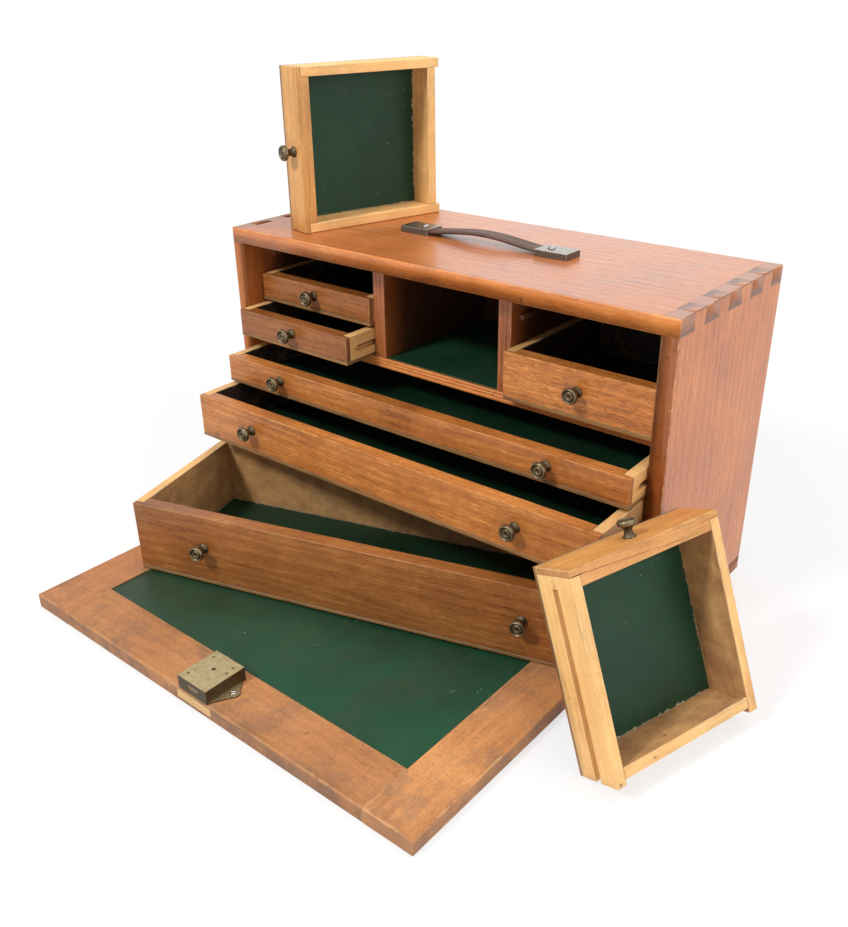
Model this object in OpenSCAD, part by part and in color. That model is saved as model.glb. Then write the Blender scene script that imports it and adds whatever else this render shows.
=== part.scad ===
// Engineer's toolbox: an oak case with eight drawers, a lift-off front panel with
// a lock, and a leather strap handle. It stands open, with its drawers pulled out,
// one drawer on its top, one leaning at its side and the panel lying in front.
// Origin: the middle of the case's underside. X is the width, the front faces -Y.

/* [Case] */
// Thickness of the top, bottom and side boards
board_t = 13.5; // [10:0.5:18]
// Thickness of the back board
back_t = 4.5; // [3:0.5:8]
// Thickness of the two rails between the rows of drawers
rail_t = 9; // [6:0.5:14]
// Thickness of the upright dividers
divider_t = 12.7; // [8:0.1:18]
// Clear width between the dividers
centre_w = 122.6; // [90:0.1:180]
// Distance of the rails and dividers behind the front edge
set_back = 23; // [16:0.5:32]
// Depth of the lower rail, from its front edge
lower_rail_d = 34; // [20:1:60]
// Width of a dovetail at the middle of its length
tail_w = 19; // [12:0.5:26]
// Distance from one dovetail to the next
tail_pitch = 38.5; // [30:0.5:42]
// Spread of a dovetail on each side, from root to end
tail_flare = 2.2; // [0:0.1:4]
// Thickness of the cloth lining in the open compartment
lining_t = 0.8; // [0.4:0.1:2]

/* [Drawers] */
// Depth of every drawer, from front face to rear ends of the sides
drawer_d = 149; // [120:1:220]
// Width of the small drawers on the left
left_w = 140; // [110:1:180]
// Width of the small drawers on the right
right_w = 137; // [110:1:180]
// Height of the top drawer on the left
left_top_h = 28; // [22:0.5:40]
// Height of the middle drawer on the left
left_middle_h = 25.3; // [22:0.1:40]
// Height of the lower drawer on the left
left_lower_h = 25.3; // [22:0.1:40]
// Height of the upper drawer on the right
right_upper_h = 37.5; // [30:0.5:50]
// Height of the lower drawer on the right
right_lower_h = 40.5; // [30:0.5:50]
// Height of the shallow long drawer
shallow_h = 25.3; // [22:0.1:40]
// Height of the medium long drawer
medium_h = 41; // [30:0.5:60]
// Height of the deep long drawer
deep_h = 66; // [50:0.5:90]
// Thickness of a drawer front
front_t = 12.8; // [9:0.1:16]
// Thickness of drawer sides and backs
side_t = 8.3; // [6:0.1:11]
// Thickness of a drawer bottom
bottom_t = 2.8; // [2:0.1:5]
// Thickness of the front left outside the rebate that takes a side
front_lap = 5; // [3:0.1:7]
// Length of the side ends behind the back
side_overrun = 4; // [1:0.5:8]
// Distance of the closed drawer fronts behind the case's front edge
drawer_recess = 19.5; // [14:0.5:26]

/* [Runners] */
// Height of a runner strip
runner_h = 4.5; // [3:0.1:7]
// Distance that a runner strip stands out of its wall
runner_out = 3.6; // [2.5:0.1:4]
// Depth of the groove in a drawer side
groove_in = 4.2; // [4:0.1:5]
// Free height above and below a runner in its groove
groove_play = 0.5; // [0.3:0.1:1]
// Length of the solid stretch of side in front of a groove
groove_stop = 14; // [10:1:24]

/* [Clearances] */
// Side clearance of a small drawer
small_gap = 1.25; // [0.8:0.05:2]
// Side clearance of a long drawer
long_gap = 1.7; // [1:0.05:2.4]
// Least clearance of a drawer that sits askew in its slot
askew_play = 0.2; // [0.1:0.05:0.5]
// Height between two drawers of one column
row_gap = 2.7; // [1.5:0.1:5]
// Height between a drawer and the rail or board above it
head_gap = 4.6; // [1.5:0.1:7]
// Height between the lower rail and the drawer above it
foot_gap = 5; // [0.5:0.1:7]
// Height between the upper rail and the drawers on it
shelf_gap = 0.9; // [0.5:0.1:2]
// Height between the top board and the drawer nearest to it
top_gap = 1.6; // [1:0.1:5]
// Clearance under a piece that rests on another
rest_gap = 0.3; // [0.2:0.05:0.5]
// Gap between the back board and a closed drawer
rear_gap = 1; // [0.5:0.1:3]
// Glue line between a drawer's back and its sides
glue_gap = 0.1; // [0.05:0.05:0.3]

/* [Knobs] */
// Diameter of a knob's head
knob_d = 13.6; // [10:0.1:18]
// Diameter of a knob's neck
knob_neck_d = 6; // [4:0.1:8]
// Diameter of a knob's foot
knob_foot_d = 9.4; // [8.5:0.1:14]
// Length of a knob
knob_l = 12.6; // [10:0.1:18]
// Distance from a long drawer's end to its knob
knob_inset = 70; // [40:1:110]
// Height of a knob above the middle of its front
knob_rise = 2.5; // [0:0.1:4]

/* [Front panel] */
// Width of the front panel
panel_w = 428; // [330:1:500]
// Height of the front panel
panel_h = 252; // [200:1:300]
// Thickness of the panel's frame
panel_t = 13.2; // [10:0.1:18]
// Width of the panel's stiles
stile_w = 42.6; // [30:0.1:60]
// Width of the panel's rails
panel_rail_w = 44.5; // [30:0.1:60]
// Thickness of the lined field
field_t = 5; // [3:0.1:7]
// Depth of the lined field below the frame
field_recess = 1.6; // [0.5:0.1:4]
// Depth of the frame's groove round the field
field_groove = 6; // [3:0.5:9]

/* [Lock] */
// Width of the lock case
lock_w = 32.5; // [24:0.5:44]
// Depth of the lock case
lock_d = 37.5; // [28:0.5:48]
// Height of the lock case
lock_h = 12; // [8:0.5:16]
// Wall of the lock case
lock_wall = 1.4; // [0.8:0.1:2.5]
// Width of one ear of the lock
ear_w = 10.5; // [7:0.5:15]
// Thickness of an ear
ear_t = 1.4; // [1:0.1:2]
// Width of the lock's bolt
bolt_w = 12; // [8:0.5:18]
// Thickness of the lock's bolt
bolt_t = 3.2; // [2:0.1:5]
// Length of the lock's bolt
bolt_l = 18; // [12:0.5:19]
// Travel of the lock's bolt
bolt_travel = 6; // [3:0.5:9]
// Running gap round the bolt
bolt_gap = 0.3; // [0.2:0.05:0.5]
// Diameter of the key pin
key_pin_d = 2.4; // [1.5:0.1:3.5]

/* [Handle] */
// Distance between the middles of the two end plates
cap_spacing = 145; // [110:1:200]
// Length of an end plate
cap_l = 31; // [24:0.5:40]
// Width of an end plate
cap_w = 21; // [16:0.5:28]
// Height of an end plate
cap_h = 5.6; // [4.6:0.1:8]
// Wall of an end plate
cap_wall = 1.2; // [0.8:0.1:2]
// Thickness of the strap
strap_t = 3.2; // [2:0.1:3.6]
// Width of the strap
strap_w = 17.5; // [12:0.5:22]
// Rise of the strap at its middle
strap_rise = 5; // [2:0.5:14]
// Diameter of a handle stud's head
stud_d = 7.6; // [5:0.1:10]
// Distance of the handle behind the case's front edge
handle_y = 90; // [60:1:120]

/* [Pulled out] */
// Distance that the middle left drawer is out
left_middle_out = 1; // [0:1:60]
// Distance that the lower left drawer is out
left_lower_out = 32; // [0:1:60]
// Distance that the lower right drawer is out
right_lower_out = 8; // [0:1:60]
// Distance that the shallow drawer's left end is out
shallow_out = 53; // [0:1:70]
// Distance that the medium drawer's left end is out
medium_out = 92; // [0:1:96]

/* [Lying loose] */
// Distance of the deep drawer's left front corner from the case's left end
deep_in = 47.5; // [30:0.5:60]
// Distance of that corner in front of the case
deep_forward = 179; // [160:1:200]
// Angle of the deep drawer
deep_turn = 17; // [12:0.5:20]
// Distance of the panel's middle to the left of the case's middle
panel_shift = 3.5; // [0:0.5:12]
// Distance of the panel's outer edge in front of the case
panel_forward = 262; // [255:1:320]
// Distance of the upright drawer's corner from the case's left end
upright_in = 51.5; // [40:0.5:80]
// Distance of that corner behind the case's front edge
upright_back = 27.5; // [15:0.5:40]
// Angle of the upright drawer
upright_turn = 75; // [60:1:90]
// Distance of the leaning drawer's standing corner to the right of the medium drawer
leaning_aside = 39.9; // [38:0.1:60]
// Distance of that corner in front of the medium drawer's right corner
leaning_ahead = 74.6; // [60:0.1:90]
// Least distance of that corner from the panel's right edge
leaning_clear = 44; // [30:0.5:60]
// Angle of the leaning drawer about the vertical
leaning_turn = 74; // [65:1:80]
// Lean of that drawer away from the vertical
leaning_tip = 23; // [15:1:30]

/* [Hidden] */
inner_w = left_w + right_w + 4 * small_gap + 2 * divider_t + centre_w;
case_w = inner_w + 2 * board_t;
case_d = drawer_recess + drawer_d + rear_gap + back_t;
front_y = -case_d / 2;
long_w = inner_w - 2 * long_gap;
divider_left_x = -inner_w / 2 + left_w + 2 * small_gap;
divider_right_x = inner_w / 2 - right_w - 2 * small_gap - divider_t;

deep_z = board_t + rest_gap;
lower_rail_z = deep_z + deep_h + head_gap;
medium_z = lower_rail_z + rail_t + foot_gap;
shallow_z = medium_z + medium_h + row_gap;
shelf_z = shallow_z + shallow_h + head_gap;
column_z = shelf_z + rail_t;
left_lower_z = column_z + shelf_gap;
left_middle_z = left_lower_z + left_lower_h + row_gap;
left_top_z = left_middle_z + left_middle_h + row_gap;
right_lower_z = column_z + shelf_gap;
right_upper_z = right_lower_z + right_lower_h + row_gap;
ceiling_z = max(left_top_z + left_top_h, right_upper_z + right_upper_h) + top_gap;
case_h = ceiling_z + board_t;

askew = asin((2 * long_gap - 2 * askew_play) / drawer_d);
askew_x = -inner_w / 2 + askew_play + drawer_d * sin(askew);
closed_y = front_y + drawer_recess;
groove_h = runner_h + 2 * groove_play;
runner_drop = groove_play - rest_gap;
runner_y = closed_y + groove_stop + 1;
runner_l = case_d / 2 - back_t - runner_y;
corner_x = askew_x + long_w * cos(askew);
corner_y = closed_y - medium_out + long_w * sin(askew);
panel_x = -panel_w / 2 - panel_shift;
leaning_x = max(corner_x + leaning_aside, panel_x + panel_w + leaning_clear);
field_z = panel_t - field_recess - field_t;
bolt_z = lock_h / 2;
pin_y = lock_d * 0.565;
ear_y = lock_d * 0.55;
ear_tip_r = ear_w * 0.476;
screw_d = ear_w * 0.286;
screw_head_r = ear_w * 0.324;
screw_head_h = ear_w * 0.114;
reed_r = rail_t / 9;
tails = 4;
fine = 32;
round = 64;

OAK = "#b06a30";
OAK_FRONT = "#a8652c";
BEECH = "#dcae72";
GREEN = "#1c4d3a";
BRONZE = "#6b6047";
STEEL = "#8d8f8b";
LEATHER = "#4a342c";

// Case: the sides' dovetails run up into the top board and down into the bottom

// Outline of the dovetails at the upper end of a side, seen along X
module tail_outline() {
  for (i = [0 : tails - 1]) {
    y = (i - (tails - 1) / 2) * tail_pitch;
    polygon([
      [y - tail_w / 2 + tail_flare, 0], [y + tail_w / 2 - tail_flare, 0],
      [y + tail_w / 2, board_t], [y - tail_w / 2, board_t]
    ]);
  }
}

// The dovetails as solids across one side board, standing on z = 0
module tails_across(x) {
  translate([x, 0, 0]) rotate([90, 0, 90]) linear_extrude(board_t) tail_outline();
}

module side_board(x) {
  translate([x, front_y, board_t]) cube([board_t, case_d, case_h - 2 * board_t]);
  translate([0, 0, case_h - board_t]) tails_across(x);
  translate([0, 0, board_t]) mirror([0, 0, 1]) tails_across(x);
}

// Top or bottom board, with sockets for the tails of both sides
module end_board() {
  difference() {
    translate([-case_w / 2, front_y, 0]) cube([case_w, case_d, board_t]);
    tails_across(-case_w / 2);
    tails_across(inner_w / 2);
  }
}

module case_top() {
  color(OAK) translate([0, 0, case_h - board_t]) end_board();
}

module case_bottom() {
  color(OAK) translate([0, 0, board_t]) mirror([0, 0, 1]) end_board();
}

module case_left_side() {
  color(OAK) side_board(-case_w / 2);
}

module case_right_side() {
  color(OAK) side_board(inner_w / 2);
}

module case_back() {
  color(OAK) translate([-inner_w / 2, case_d / 2 - back_t, board_t])
    cube([inner_w, back_t, case_h - 2 * board_t]);
}

// Board lying on its side edge, w by d by t, with two reeds cut in its front edge
module reeded_board(w, d, t) {
  difference() {
    cube([w, d, t]);
    for (z = [t / 3, 2 * t / 3])
      translate([-1, -reed_r / 3, z]) rotate([0, 90, 0])
        cylinder(r = reed_r, h = w + 2, $fn = fine);
  }
}

module upper_rail_board() {
  color(OAK) translate([-inner_w / 2, front_y + set_back, shelf_z])
    reeded_board(inner_w, case_d - set_back - back_t, rail_t);
}

module lower_rail() {
  color(OAK) translate([-inner_w / 2, front_y + set_back, lower_rail_z])
    reeded_board(inner_w, lower_rail_d, rail_t);
}

// Upright divider with its left face at x
module divider(x) {
  h = ceiling_z - column_z;
  translate([x, front_y + set_back, column_z + h]) rotate([0, 90, 0])
    reeded_board(h, case_d - set_back - back_t, divider_t);
}

module left_divider() {
  color(OAK) divider(divider_left_x);
}

module right_divider() {
  color(OAK) divider(divider_right_x);
}

module compartment_lining() {
  x = divider_left_x + divider_t;
  color(GREEN) translate([x, front_y + set_back + 2, column_z])
    cube([divider_right_x - x, case_d - set_back - back_t - 2, lining_t]);
}

// Runner strip on the wall at x, on its +X side (side = 1) or its -X side (-1)
module runner(x, side, drawer_z, drawer_h) {
  z = drawer_z + drawer_h / 2 - runner_h / 2 + runner_drop;
  translate([side > 0 ? x : x - runner_out, runner_y, z])
    cube([runner_out, runner_l, runner_h]);
}

module small_drawer_runners() {
  color(OAK) {
    for (row = [
      [left_top_z, left_top_h], [left_middle_z, left_middle_h], [left_lower_z, left_lower_h]
    ]) {
      runner(-inner_w / 2, 1, row[0], row[1]);
      runner(divider_left_x, -1, row[0], row[1]);
    }
    for (row = [[right_upper_z, right_upper_h], [right_lower_z, right_lower_h]]) {
      runner(divider_right_x + divider_t, 1, row[0], row[1]);
      runner(inner_w / 2, -1, row[0], row[1]);
    }
  }
}

module long_drawer_runners() {
  color(OAK) for (row = [[shallow_z, shallow_h], [medium_z, medium_h]]) {
    runner(-inner_w / 2, 1, row[0], row[1]);
    runner(inner_w / 2, -1, row[0], row[1]);
  }
}

// Handle: a leather strap between two folded steel end plates

// Height of the strap's underside above the case top at distance x from its middle
function strap_z(x) =
  let(reach = cap_spacing / 2 - cap_l / 2)
  cap_wall + rest_gap + (abs(x) < reach ? strap_rise * pow(cos(90 * x / reach), 2) : 0);

module handle_strap() {
  reach = cap_spacing / 2 + cap_l / 4;
  steps = 24;
  under = [for (i = [0 : steps]) let(x = -reach + 2 * reach * i / steps) [x, strap_z(x)]];
  over = [for (i = [steps : -1 : 0]) let(x = -reach + 2 * reach * i / steps)
    [x, strap_z(x) + strap_t]];
  color(LEATHER) translate([0, front_y + handle_y + strap_w / 2, case_h])
    rotate([90, 0, 0]) linear_extrude(strap_w) polygon(concat(under, over));
}

// End plate with its slot open towards the middle of the handle
module end_plate() {
  slot_h = strap_t + 2 * rest_gap;
  difference() {
    translate([-cap_l / 2, -cap_w / 2, 0]) cube([cap_l, cap_w, cap_h]);
    translate([-cap_l / 2 - 1, -strap_w / 2 - rest_gap, cap_wall])
      cube([cap_l + 1 - cap_wall, strap_w + 2 * rest_gap, slot_h]);
  }
}

module handle_end_plates() {
  color(STEEL) for (side = [-1, 1])
    translate([side * cap_spacing / 2, front_y + handle_y, case_h])
      mirror([side < 0 ? 1 : 0, 0, 0]) end_plate();
}

// Domed stud on an end plate
module handle_studs() {
  color(STEEL) for (side = [-1, 1])
    translate([side * (cap_spacing / 2 - cap_l / 6), front_y + handle_y, case_h + cap_h])
      intersection() {
        translate([0, 0, -stud_d / 4]) sphere(d = stud_d, $fn = fine);
        cylinder(d = stud_d + 1, h = stud_d, $fn = fine);
      }
}

// Front panel, lying face down with its lined side up and its top edge at the front

module place_panel() {
  translate([panel_x, front_y - panel_forward, 0]) children();
}

module panel_groove() {
  translate([stile_w - field_groove, panel_rail_w - field_groove, field_z])
    cube([
      panel_w - 2 * (stile_w - field_groove), panel_h - 2 * (panel_rail_w - field_groove),
      field_t
    ]);
}

module panel_stiles() {
  color(OAK) place_panel() difference() {
    for (x = [0, panel_w - stile_w]) translate([x, 0, 0]) cube([stile_w, panel_h, panel_t]);
    panel_groove();
  }
}

module panel_rails() {
  color(OAK) place_panel() difference() {
    for (y = [0, panel_h - panel_rail_w])
      translate([stile_w, y, 0]) cube([panel_w - 2 * stile_w, panel_rail_w, panel_t]);
    panel_groove();
  }
}

module panel_field() {
  color(GREEN) place_panel() panel_groove();
}

// Lock on the panel's top rail, its bolt leaving through the front of its case

module place_lock() {
  place_panel() translate([panel_w / 2, 0, panel_t]) children();
}

// Flat ear with a rounded tip, on the right of the case or mirrored on its left
module lock_ear(side) {
  mirror([side < 0 ? 1 : 0, 0, 0]) translate([lock_w / 2, 0, 0]) difference() {
    linear_extrude(ear_t) polygon(concat(
      [[0, ear_t], [0, lock_d - 2 * ear_t]],
      [for (a = [70 : -10 : -60])
        [ear_w - ear_tip_r + ear_tip_r * cos(a), ear_y + ear_tip_r * sin(a)]]
    ));
    translate([ear_w - ear_tip_r, ear_y, -1]) cylinder(d = screw_d, h = ear_t + 2, $fn = fine);
  }
}

module lock_case() {
  color(BRONZE) place_lock() {
    difference() {
      translate([-lock_w / 2, 0, 0]) cube([lock_w, lock_d, lock_h]);
      translate([-lock_w / 2 + lock_wall, lock_wall, lock_wall])
        cube([lock_w - 2 * lock_wall, lock_d - 2 * lock_wall, lock_h - 2 * lock_wall]);
      translate([-bolt_w / 2 - bolt_gap, -1, bolt_z - bolt_t / 2 - bolt_gap])
        cube([bolt_w + 2 * bolt_gap, lock_wall + 2, bolt_t + 2 * bolt_gap]);
      translate([0, pin_y, lock_h - lock_wall - 1])
        cylinder(d = key_pin_d + 2 * bolt_gap, h = lock_wall + 2, $fn = fine);
    }
    for (side = [-1, 1]) lock_ear(side);
  }
}

module lock_bolt() {
  color(BRONZE) place_lock() translate([-bolt_w / 2, bolt_gap, bolt_z - bolt_t / 2])
    cube([bolt_w, bolt_l, bolt_t]);
}

// Fixed pin that the key turns on, riveted to the floor of the lock case
module lock_key_pin() {
  color(BRONZE) place_lock() translate([0, pin_y, lock_wall])
    cylinder(d = key_pin_d, h = lock_h - lock_wall, $fn = fine);
}

module lock_screws() {
  color(BRONZE) place_lock() for (side = [-1, 1])
    translate([side * (lock_w / 2 + ear_w - ear_tip_r), ear_y, ear_t])
      intersection() {
        translate([0, 0, screw_head_h - screw_head_r]) sphere(r = screw_head_r, $fn = fine);
        cylinder(r = screw_head_r, h = 2 * screw_head_h, $fn = fine);
      }
}

// Drawers: each one is drawn with its left lower front corner at the origin

module drawer_front(w, h) {
  difference() {
    translate([0, 0, bottom_t]) cube([w, front_t, h - bottom_t]);
    for (x = [-1, w - side_t])
      translate([x, front_lap, 0]) cube([side_t + 1, front_t, h + 1]);
  }
}

// Both sides and the back; grooved says whether the sides run on strips
module drawer_walls(w, h, grooved = true) {
  difference() {
    for (x = [0, w - side_t])
      translate([x, front_lap, bottom_t]) cube([side_t, drawer_d - front_lap, h - bottom_t]);
    if (grooved) for (x = [-1, w - groove_in])
      translate([x, groove_stop, h / 2 - groove_h / 2])
        cube([groove_in + 1, drawer_d, groove_h]);
  }
  translate([side_t + glue_gap, drawer_d - side_overrun - side_t, bottom_t])
    cube([w - 2 * side_t - 2 * glue_gap, side_t, h - bottom_t]);
}

module drawer_bottom(w) {
  cube([w, drawer_d, bottom_t]);
}

// Turned knob standing out along -Y, from a foot at y = 0
module knob(x, h) {
  translate([x, 0, h / 2 + knob_rise]) rotate([90, 0, 0]) rotate_extrude($fn = round)
    polygon([
      [0, 0], [knob_foot_d / 2, 0], [knob_foot_d / 2, knob_l * 0.095],
      [knob_neck_d * 0.6, knob_l * 0.175],
      [knob_neck_d / 2, knob_l * 0.36], [knob_neck_d * 0.55, knob_l * 0.5],
      [knob_d * 0.434, knob_l * 0.66], [knob_d / 2, knob_l * 0.74],
      [knob_d / 2, knob_l * 0.88], [knob_d * 0.456, knob_l * 0.96],
      [knob_d * 0.397, knob_l], [knob_d * 0.338, knob_l * 0.968],
      [knob_d * 0.279, knob_l * 0.905], [0, knob_l * 0.881]
    ]);
}

module place_left_top() {
  translate([-case_w / 2 + upright_in, front_y + upright_back, case_h + rest_gap + left_w])
    rotate([0, 0, upright_turn]) rotate([0, 90, -90]) children();
}

module place_left_middle() {
  translate([-inner_w / 2 + small_gap, closed_y - left_middle_out, left_middle_z])
    children();
}

module place_left_lower() {
  translate([-inner_w / 2 + small_gap, closed_y - left_lower_out, left_lower_z])
    children();
}

// The leaning drawer stands on the lower right corner of its back end
module place_right_upper() {
  translate([leaning_x, corner_y - leaning_ahead, rest_gap])
    rotate([0, 0, leaning_turn]) rotate([-leaning_tip, 0, 0]) rotate([-90, 0, 180])
      translate([-right_w, -drawer_d, 0]) children();
}

module place_right_lower() {
  translate([inner_w / 2 - small_gap - right_w, closed_y - right_lower_out, right_lower_z])
    children();
}

// The shallow and medium drawers sit askew by what their side clearance allows
module place_shallow() {
  translate([askew_x, closed_y - shallow_out, shallow_z]) rotate([0, 0, askew]) children();
}

module place_medium() {
  translate([askew_x, closed_y - medium_out, medium_z]) rotate([0, 0, askew]) children();
}

// The deep drawer lies across the panel and the case's bottom board
module place_deep() {
  translate([
    -case_w / 2 + deep_in, front_y - deep_forward, max(board_t, panel_t) + rest_gap
  ]) rotate([0, 0, deep_turn]) children();
}

module left_top_drawer_front() {
  color(OAK_FRONT) place_left_top() drawer_front(left_w, left_top_h);
}

module left_top_drawer_walls() {
  color(BEECH) place_left_top() drawer_walls(left_w, left_top_h);
}

module left_top_drawer_bottom() {
  color(GREEN) place_left_top() drawer_bottom(left_w);
}

module left_top_drawer_knob() {
  color(BRONZE) place_left_top() knob(left_w / 2, left_top_h);
}

module left_middle_drawer_front() {
  color(OAK_FRONT) place_left_middle() drawer_front(left_w, left_middle_h);
}

module left_middle_drawer_walls() {
  color(BEECH) place_left_middle() drawer_walls(left_w, left_middle_h);
}

module left_middle_drawer_bottom() {
  color(GREEN) place_left_middle() drawer_bottom(left_w);
}

module left_middle_drawer_knob() {
  color(BRONZE) place_left_middle() knob(left_w / 2, left_middle_h);
}

module left_lower_drawer_front() {
  color(OAK_FRONT) place_left_lower() drawer_front(left_w, left_lower_h);
}

module left_lower_drawer_walls() {
  color(BEECH) place_left_lower() drawer_walls(left_w, left_lower_h);
}

module left_lower_drawer_bottom() {
  color(GREEN) place_left_lower() drawer_bottom(left_w);
}

module left_lower_drawer_knob() {
  color(BRONZE) place_left_lower() knob(left_w / 2, left_lower_h);
}

module right_upper_drawer_front() {
  color(OAK_FRONT) place_right_upper() drawer_front(right_w, right_upper_h);
}

module right_upper_drawer_walls() {
  color(BEECH) place_right_upper() drawer_walls(right_w, right_upper_h);
}

module right_upper_drawer_bottom() {
  color(GREEN) place_right_upper() drawer_bottom(right_w);
}

module right_upper_drawer_knob() {
  color(BRONZE) place_right_upper() knob(right_w / 2, right_upper_h);
}

module right_lower_drawer_front() {
  color(OAK_FRONT) place_right_lower() drawer_front(right_w, right_lower_h);
}

module right_lower_drawer_walls() {
  color(BEECH) place_right_lower() drawer_walls(right_w, right_lower_h);
}

module right_lower_drawer_bottom() {
  color(GREEN) place_right_lower() drawer_bottom(right_w);
}

module right_lower_drawer_knob() {
  color(BRONZE) place_right_lower() knob(right_w / 2, right_lower_h);
}

module shallow_drawer_front() {
  color(OAK_FRONT) place_shallow() drawer_front(long_w, shallow_h);
}

module shallow_drawer_walls() {
  color(BEECH) place_shallow() drawer_walls(long_w, shallow_h);
}

module shallow_drawer_bottom() {
  color(GREEN) place_shallow() drawer_bottom(long_w);
}

module shallow_drawer_knobs() {
  color(BRONZE) place_shallow() for (x = [knob_inset, long_w - knob_inset])
    knob(x, shallow_h);
}

module medium_drawer_front() {
  color(OAK_FRONT) place_medium() drawer_front(long_w, medium_h);
}

module medium_drawer_walls() {
  color(BEECH) place_medium() drawer_walls(long_w, medium_h);
}

module medium_drawer_bottom() {
  color(GREEN) place_medium() drawer_bottom(long_w);
}

module medium_drawer_knobs() {
  color(BRONZE) place_medium() for (x = [knob_inset, long_w - knob_inset])
    knob(x, medium_h);
}

module deep_drawer_front() {
  color(OAK_FRONT) place_deep() drawer_front(long_w, deep_h);
}

module deep_drawer_walls() {
  color(BEECH) place_deep() drawer_walls(long_w, deep_h, grooved = false);
}

module deep_drawer_bottom() {
  color(GREEN) place_deep() drawer_bottom(long_w);
}

module deep_drawer_knobs() {
  color(BRONZE) place_deep() for (x = [knob_inset, long_w - knob_inset])
    knob(x, deep_h);
}

case_top();
case_bottom();
case_left_side();
case_right_side();
case_back();
upper_rail_board();
lower_rail();
left_divider();
right_divider();
compartment_lining();
small_drawer_runners();
long_drawer_runners();
handle_strap();
handle_end_plates();
handle_studs();
panel_stiles();
panel_rails();
panel_field();
lock_case();
lock_bolt();
lock_key_pin();
lock_screws();
left_top_drawer_front();
left_top_drawer_walls();
left_top_drawer_bottom();
left_top_drawer_knob();
left_middle_drawer_front();
left_middle_drawer_walls();
left_middle_drawer_bottom();
left_middle_drawer_knob();
left_lower_drawer_front();
left_lower_drawer_walls();
left_lower_drawer_bottom();
left_lower_drawer_knob();
right_upper_drawer_front();
right_upper_drawer_walls();
right_upper_drawer_bottom();
right_upper_drawer_knob();
right_lower_drawer_front();
right_lower_drawer_walls();
right_lower_drawer_bottom();
right_lower_drawer_knob();
shallow_drawer_front();
shallow_drawer_walls();
shallow_drawer_bottom();
shallow_drawer_knobs();
medium_drawer_front();
medium_drawer_walls();
medium_drawer_bottom();
medium_drawer_knobs();
deep_drawer_front();
deep_drawer_walls();
deep_drawer_bottom();
deep_drawer_knobs();
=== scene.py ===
# %% [markdown]
# # An engineer's toolbox, standing open
#
# This lesson dresses a finished construction model. The model fixes every size and place;
# here each board, knob and strap gets a surface of its own and a finish with grain and wear.
# Everything is in metres, with the floor at z = 0 and the drawers opening towards -Y.

# %% The fixed frame
import bpy
import bmesh
import numpy as np
from mathutils import Matrix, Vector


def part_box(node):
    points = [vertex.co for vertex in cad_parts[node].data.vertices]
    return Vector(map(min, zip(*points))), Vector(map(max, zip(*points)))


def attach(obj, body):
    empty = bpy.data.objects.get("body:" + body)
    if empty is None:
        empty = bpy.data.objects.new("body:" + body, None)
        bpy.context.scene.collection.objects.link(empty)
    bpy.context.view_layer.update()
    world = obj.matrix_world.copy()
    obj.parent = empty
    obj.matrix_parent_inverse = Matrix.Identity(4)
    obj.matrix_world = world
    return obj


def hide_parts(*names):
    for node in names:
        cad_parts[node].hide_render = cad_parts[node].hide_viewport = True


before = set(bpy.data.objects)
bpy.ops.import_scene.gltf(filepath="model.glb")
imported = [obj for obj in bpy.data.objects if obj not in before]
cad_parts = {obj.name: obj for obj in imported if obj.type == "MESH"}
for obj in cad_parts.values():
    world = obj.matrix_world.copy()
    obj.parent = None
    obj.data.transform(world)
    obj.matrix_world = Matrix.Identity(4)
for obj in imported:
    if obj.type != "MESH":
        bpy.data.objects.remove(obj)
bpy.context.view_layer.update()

# %% [markdown]
# ## Camera
#
# A camera is a place and three directions. Azimuth, elevation and roll give the directions;
# the lens was worked out from the case's straight edges, which meet in two vanishing points.

# %% Camera
azimuth, elevation, roll = np.radians([40.345, 26.603, -0.977])
back = np.array([np.sin(azimuth) * np.cos(elevation), -np.cos(azimuth) * np.cos(elevation),
                 np.sin(elevation)])
level = np.cross(-back, [0, 0, 1])
level /= np.linalg.norm(level)
rise = np.cross(level, -back)
across = level * np.cos(roll) + rise * np.sin(roll)
upward = rise * np.cos(roll) - level * np.sin(roll)
pose = np.eye(4)
pose[:3, 0], pose[:3, 1], pose[:3, 2] = across, upward, back
pose[:3, 3] = 0.49416, -0.66600, 0.48513
camera = bpy.data.objects.new("camera", bpy.data.cameras.new("camera"))
camera.data.lens, camera.data.sensor_width = 37.52, 36
camera.data.clip_start = 0.01
camera.matrix_world = Matrix(pose.tolist())
bpy.context.scene.collection.objects.link(camera)
bpy.context.scene.camera = camera
print("camera at", pose[:3, 3])

# %% [markdown]
# ## Small helpers for shader nodes
#
# A finish is a graph of nodes. These helpers add one node each to the graph that is being
# drawn and return its output, so a finish reads as a list of steps. Effects that several
# finishes share become node groups.

# %% Node helpers
drawing = {}


def link(source, target):
    """One link in the graph that is being drawn."""
    drawing["tree"].links.new(source, target)


def add(kind, sockets=None, **settings):
    """One shader node, with its settings and its input sockets linked or set."""
    node = drawing["tree"].nodes.new("ShaderNode" + kind)
    for name, value in settings.items():
        setattr(node, name, value)
    for name, value in (sockets or {}).items():
        if isinstance(value, bpy.types.NodeSocket):
            link(value, node.inputs[name])
        else:
            node.inputs[name].default_value = value
    return node


def maths(operation, *values, clamp=False):
    """One sum: the operation on up to three values."""
    return add("Math", dict(enumerate(values)), operation=operation, use_clamp=clamp).outputs[0]


def plus(first, second, clamp=False):
    """first + second"""
    return maths("ADD", first, second, clamp=clamp)


def minus(first, second):
    """first - second"""
    return maths("SUBTRACT", first, second)


def times(first, second):
    """first x second"""
    return maths("MULTIPLY", first, second)


def scaled(value, factor, offset, clamp=False):
    """value x factor + offset"""
    return maths("MULTIPLY_ADD", value, factor, offset, clamp=clamp)


def absolute(value):
    """The value without its sign."""
    return maths("ABSOLUTE", value)


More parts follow.
